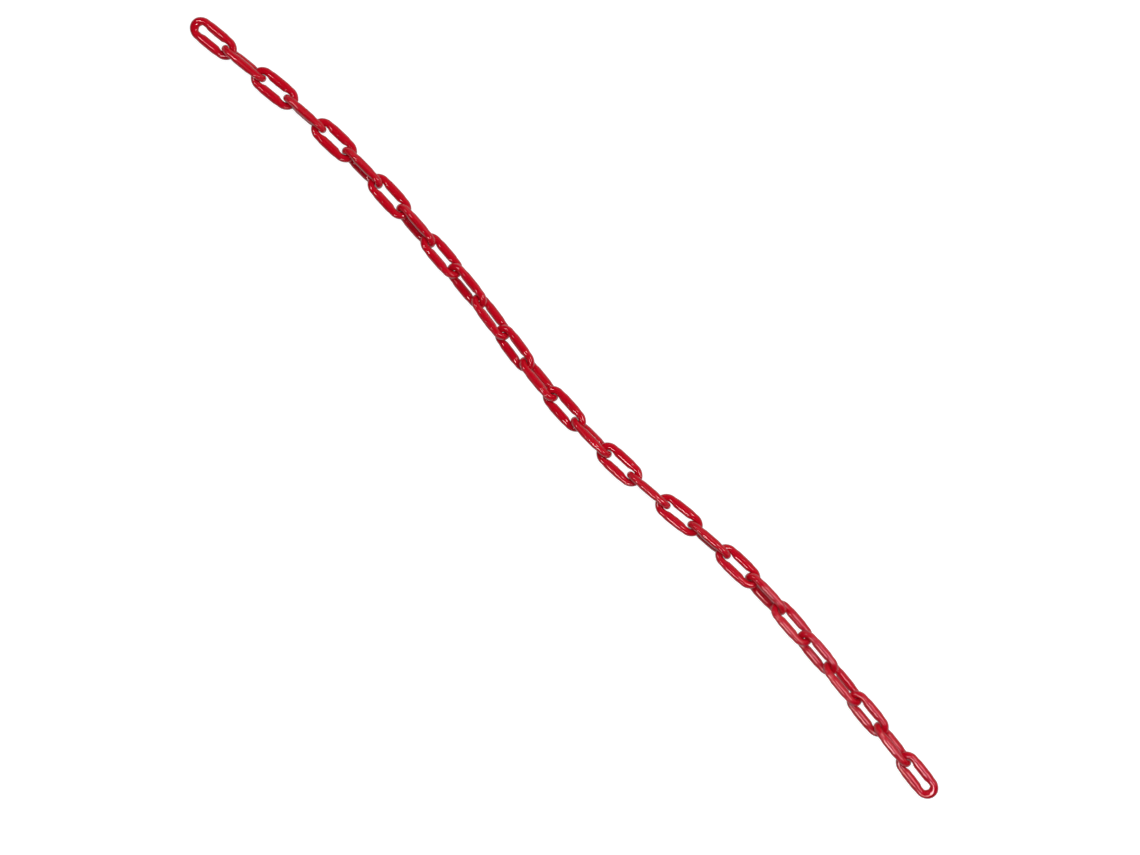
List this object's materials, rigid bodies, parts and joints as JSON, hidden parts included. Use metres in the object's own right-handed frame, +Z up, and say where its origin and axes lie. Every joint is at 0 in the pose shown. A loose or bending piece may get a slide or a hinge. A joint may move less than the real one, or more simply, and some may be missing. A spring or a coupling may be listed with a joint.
{
  "type": "plastic barrier chain",
  "caption": "Length of red moulded plastic barrier chain: oval links of round section threaded through one another, both ends free, for hanging between posts or hooks.",
  "frame": {"origin": "middle of the chain's footprint on the surface it lies on, with the chain pulled out straight", "axes": "+X along the chain from the first link to the last, +Z up from the surface, +Y across the chain"},
  "size_m": [0.9888, 0.0408, 0.0229],
  "materials": {
    "red_plastic": "glossy moulded polyethylene"
  },
  "bodies": {
    "link_01": {"link_01": "red_plastic"},
    "link_02": {"link_02": "red_plastic"},
    "link_03": {"link_03": "red_plastic"},
    "link_04": {"link_04": "red_plastic"},
    "link_05": {"link_05": "red_plastic"},
    "link_06": {"link_06": "red_plastic"},
    "link_07": {"link_07": "red_plastic"},
    "link_08": {"link_08": "red_plastic"},
    "link_09": {"link_09": "red_plastic"},
    "link_10": {"link_10": "red_plastic"},
    "link_11": {"link_11": "red_plastic"},
    "link_12": {"link_12": "red_plastic"},
    "link_13": {"link_13": "red_plastic"},
    "link_14": {"link_14": "red_plastic"},
    "link_15": {"link_15": "red_plastic"},
    "link_16": {"link_16": "red_plastic"},
    "link_17": {"link_17": "red_plastic"},
    "link_18": {"link_18": "red_plastic"},
    "link_19": {"link_19": "red_plastic"},
    "link_20": {"link_20": "red_plastic"},
    "link_21": {"link_21": "red_plastic"},
    "link_22": {"link_22": "red_plastic"},
    "link_23": {"link_23": "red_plastic"},
    "link_24": {"link_24": "red_plastic"},
    "link_25": {"link_25": "red_plastic"},
    "link_26": {"link_26": "red_plastic"},
    "link_27": {"link_27": "red_plastic"}
  },
  "joints": [
    {"name": "hook_01_02", "type": "hinge", "parent": "link_01", "child": "link_02", "pos_m": [-0.44758, -0.0047, 0.01145], "axis": [0.1224, -0.973, -0.1956], "range_deg": [-95, 95]},
    {"name": "hook_02_03", "type": "hinge", "parent": "link_02", "child": "link_03", "pos_m": [-0.41152, -0.00015, 0.01145], "axis": [0.0044, -0.035, 0.9994], "range_deg": [-95, 95]},
    {"name": "hook_03_04", "type": "hinge", "parent": "link_03", "child": "link_04", "pos_m": [-0.37545, 0.00439, 0.01145], "axis": [-0.0903, 0.9939, -0.063], "range_deg": [-95, 95]},
    {"name": "hook_04_05", "type": "hinge", "parent": "link_04", "child": "link_05", "pos_m": [-0.33922, 0.00756, 0.01145], "axis": [0.0093, -0.1736, -0.9848], "range_deg": [-95, 95]},
    {"name": "hook_05_06", "type": "hinge", "parent": "link_05", "child": "link_06", "pos_m": [-0.3029, 0.00937, 0.01145], "axis": [0.0138, -0.9614, 0.2748], "range_deg": [-95, 95]},
    {"name": "hook_06_07", "type": "hinge", "parent": "link_06", "child": "link_07", "pos_m": [-0.26653, 0.00975, 0.01145], "axis": [0.0084, 0.3562, 0.9344], "range_deg": [-95, 95]},
    {"name": "hook_07_08", "type": "hinge", "parent": "link_07", "child": "link_08", "pos_m": [-0.23018, 0.00876, 0.01145], "axis": [0.0414, 0.9121, -0.4079], "range_deg": [-95, 95]},
    {"name": "hook_08_09", "type": "hinge", "parent": "link_08", "child": "link_09", "pos_m": [-0.19388, 0.00703, 0.01145], "axis": [-0.0296, -0.563, -0.8259], "range_deg": [-95, 95]},
    {"name": "hook_09_10", "type": "hinge", "parent": "link_09", "child": "link_10", "pos_m": [-0.15762, 0.00509, 0.01145], "axis": [-0.0591, -0.7408, 0.6691], "range_deg": [-95, 95]},
    {"name": "hook_10_11", "type": "hinge", "parent": "link_10", "child": "link_11", "pos_m": [-0.12141, 0.00211, 0.01145], "axis": [0.0923, 0.7672, 0.6347], "range_deg": [-95, 95]},
    {"name": "hook_11_12", "type": "hinge", "parent": "link_11", "child": "link_12", "pos_m": [-0.08548, -0.00236, 0.01145], "axis": [0.0733, 0.6172, -0.7834], "range_deg": [-95, 95]},
    {"name": "hook_12_13", "type": "hinge", "parent": "link_12", "child": "link_13", "pos_m": [-0.04956, -0.00662, 0.01145], "axis": [-0.0675, -0.8812, -0.4679], "range_deg": [-95, 95]},
    {"name": "hook_13_14", "type": "hinge", "parent": "link_13", "child": "link_14", "pos_m": [-0.01344, -0.00923, 0.01145], "axis": [-0.0123, -0.4273, 0.904], "range_deg": [-95, 95]},
    {"name": "hook_14_15", "type": "hinge", "parent": "link_14", "child": "link_15", "pos_m": [0.0226, -0.01009, 0.01145], "axis": [-0.0169, 0.9668, 0.2551], "range_deg": [-95, 95]},
    {"name": "hook_15_16", "type": "hinge", "parent": "link_15", "child": "link_16", "pos_m": [0.05876, -0.00929, 0.01145], "axis": [-0.012, 0.1867, -0.9824], "range_deg": [-95, 95]},
    {"name": "hook_16_17", "type": "hinge", "parent": "link_16", "child": "link_17", "pos_m": [0.09464, -0.00681, 0.01145], "axis": [0.1049, -0.9945, -0.0042], "range_deg": [-95, 95]},
    {"name": "hook_17_18", "type": "hinge", "parent": "link_17", "child": "link_18", "pos_m": [0.13049, -0.00287, 0.01145], "axis": [-0.0242, 0.1772, 0.9839], "range_deg": [-95, 95]},
    {"name": "hook_18_19", "type": "hinge", "parent": "link_18", "child": "link_19", "pos_m": [0.16612, 0.00211, 0.01145], "axis": [-0.0916, 0.9805, -0.1738], "range_deg": [-95, 95]},
    {"name": "hook_19_20", "type": "hinge", "parent": "link_19", "child": "link_20", "pos_m": [0.20196, 0.0053, 0.01145], "axis": [0.016, -0.3507, -0.9364], "range_deg": [-95, 95]},
    {"name": "hook_20_21", "type": "hinge", "parent": "link_20", "child": "link_21", "pos_m": [0.23792, 0.00676, 0.01145], "axis": [-0.005, -0.876, 0.4822], "range_deg": [-95, 95]},
    {"name": "hook_21_22", "type": "hinge", "parent": "link_21", "child": "link_22", "pos_m": [0.27401, 0.00636, 0.01145], "axis": [0.0285, 0.5807, 0.8136], "range_deg": [-95, 95]},
    {"name": "hook_22_23", "type": "hinge", "parent": "link_22", "child": "link_23", "pos_m": [0.31007, 0.00443, 0.01145], "axis": [0.042, 0.6939, -0.7189], "range_deg": [-95, 95]},
    {"name": "hook_23_24", "type": "hinge", "parent": "link_23", "child": "link_24", "pos_m": [0.34628, 0.0022, 0.01145], "axis": [-0.0645, -0.8287, -0.556], "range_deg": [-95, 95]},
    {"name": "hook_24_25", "type": "hinge", "parent": "link_24", "child": "link_25", "pos_m": [0.38247, -0.00068, 0.01145], "axis": [-0.0384, -0.5196, 0.8536], "range_deg": [-95, 95]},
    {"name": "hook_25_26", "type": "hinge", "parent": "link_25", "child": "link_26", "pos_m": [0.4187, -0.00335, 0.01145], "axis": [0.0807, 0.9305, 0.3574], "range_deg": [-95, 95]},
    {"name": "hook_26_27", "type": "hinge", "parent": "link_26", "child": "link_27", "pos_m": [0.45485, -0.00653, 0.01145], "axis": [0.0319, 0.3405, -0.9397], "range_deg": [-95, 95]}
  ]
}
